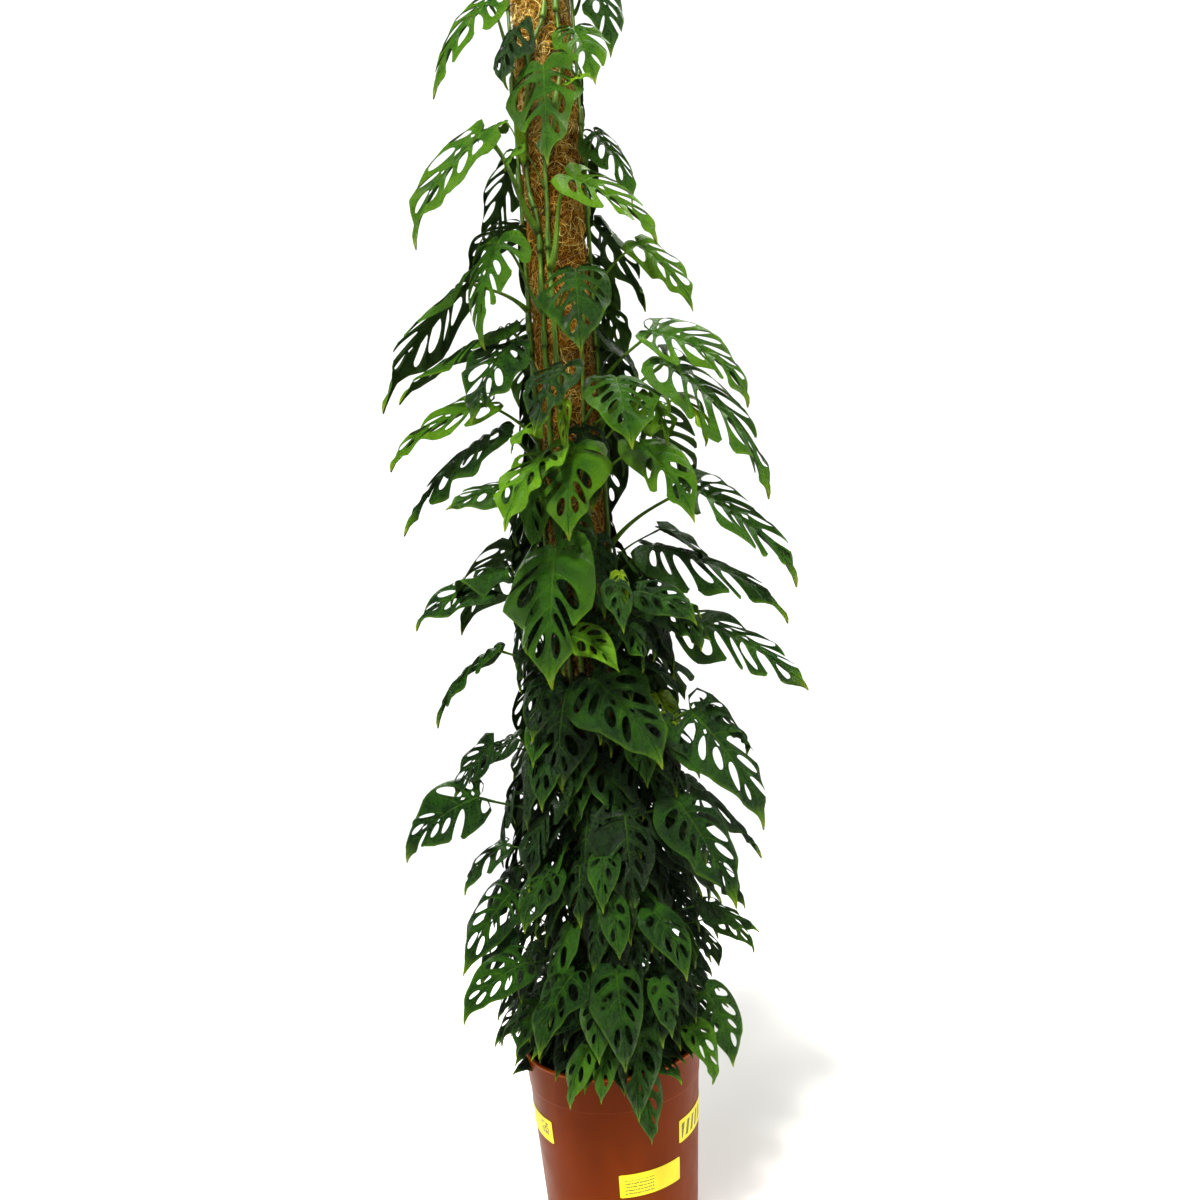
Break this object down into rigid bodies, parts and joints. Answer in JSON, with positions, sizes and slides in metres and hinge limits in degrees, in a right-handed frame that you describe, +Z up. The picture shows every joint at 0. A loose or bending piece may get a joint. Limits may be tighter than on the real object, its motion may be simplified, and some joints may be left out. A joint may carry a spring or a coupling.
{
  "type": "potted monstera plant",
  "caption": "Tall climbing monstera with perforated leaves, trained up a coir-covered pole in a round tapered plastic nursery pot with soil and drain holes.",
  "frame": {"origin": "centre of the pot's underside, on the ground", "axes": "+Z up along the pole, -Y to the front, +X to the right as seen from the front"},
  "size_m": [0.7058, 0.5174, 2.269],
  "materials": {
    "pot_plastic": "satin moulded plastic, brown terracotta colour",
    "soil": "dark crumbly potting mix of bark and peat",
    "pole_plastic": "matt grey pipe",
    "coir": "matted coconut fibre",
    "stem": "smooth green vine, semi-gloss",
    "leaf": "waxy green leaf, semi-gloss above and paler below",
    "label_paper": "coated yellow label"
  },
  "bodies": {
    "root": {"coir_sleeve": "coir", "label_front": "label_paper", "label_left": "label_paper", "label_right": "label_paper", "leaf_01": "leaf", "leaf_02": "leaf", "leaf_03": "leaf", "leaf_04": "leaf", "leaf_05": "leaf", "leaf_06": "leaf", "leaf_07": "leaf", "leaf_08": "leaf", "leaf_09": "leaf", "leaf_10": "leaf", "leaf_11": "leaf", "leaf_12": "leaf", "leaf_13": "leaf", "leaf_14": "leaf", "leaf_15": "leaf", "leaf_16": "leaf", "leaf_17": "leaf", "leaf_18": "leaf", "leaf_19": "leaf", "leaf_20": "leaf", "leaf_21": "leaf", "leaf_22": "leaf", "leaf_23": "leaf", "leaf_24": "leaf", "leaf_25": "leaf", "leaf_26": "leaf", "leaf_27": "leaf", "leaf_28": "leaf", "leaf_29": "leaf", "leaf_30": "leaf", "leaf_31": "leaf", "leaf_32": "leaf", "leaf_33": "leaf", "leaf_34": "leaf", "leaf_35": "leaf", "leaf_36": "leaf", "leaf_37": "leaf", "leaf_38": "leaf", "leaf_39": "leaf", "leaf_40": "leaf", "leaf_41": "leaf", "leaf_42": "leaf", "leaf_43": "leaf", "leaf_44": "leaf", "leaf_45": "leaf", "leaf_46": "leaf", "pole_cap": "pole_plastic", "pole_core": "pole_plastic", "pot": "pot_plastic", "potting_soil": "soil", "vine_1": "stem", "vine_2": "stem", "vine_3": "stem", "vine_4": "stem", "vine_5": "stem", "vine_6": "stem"}
  },
  "joints": []
}
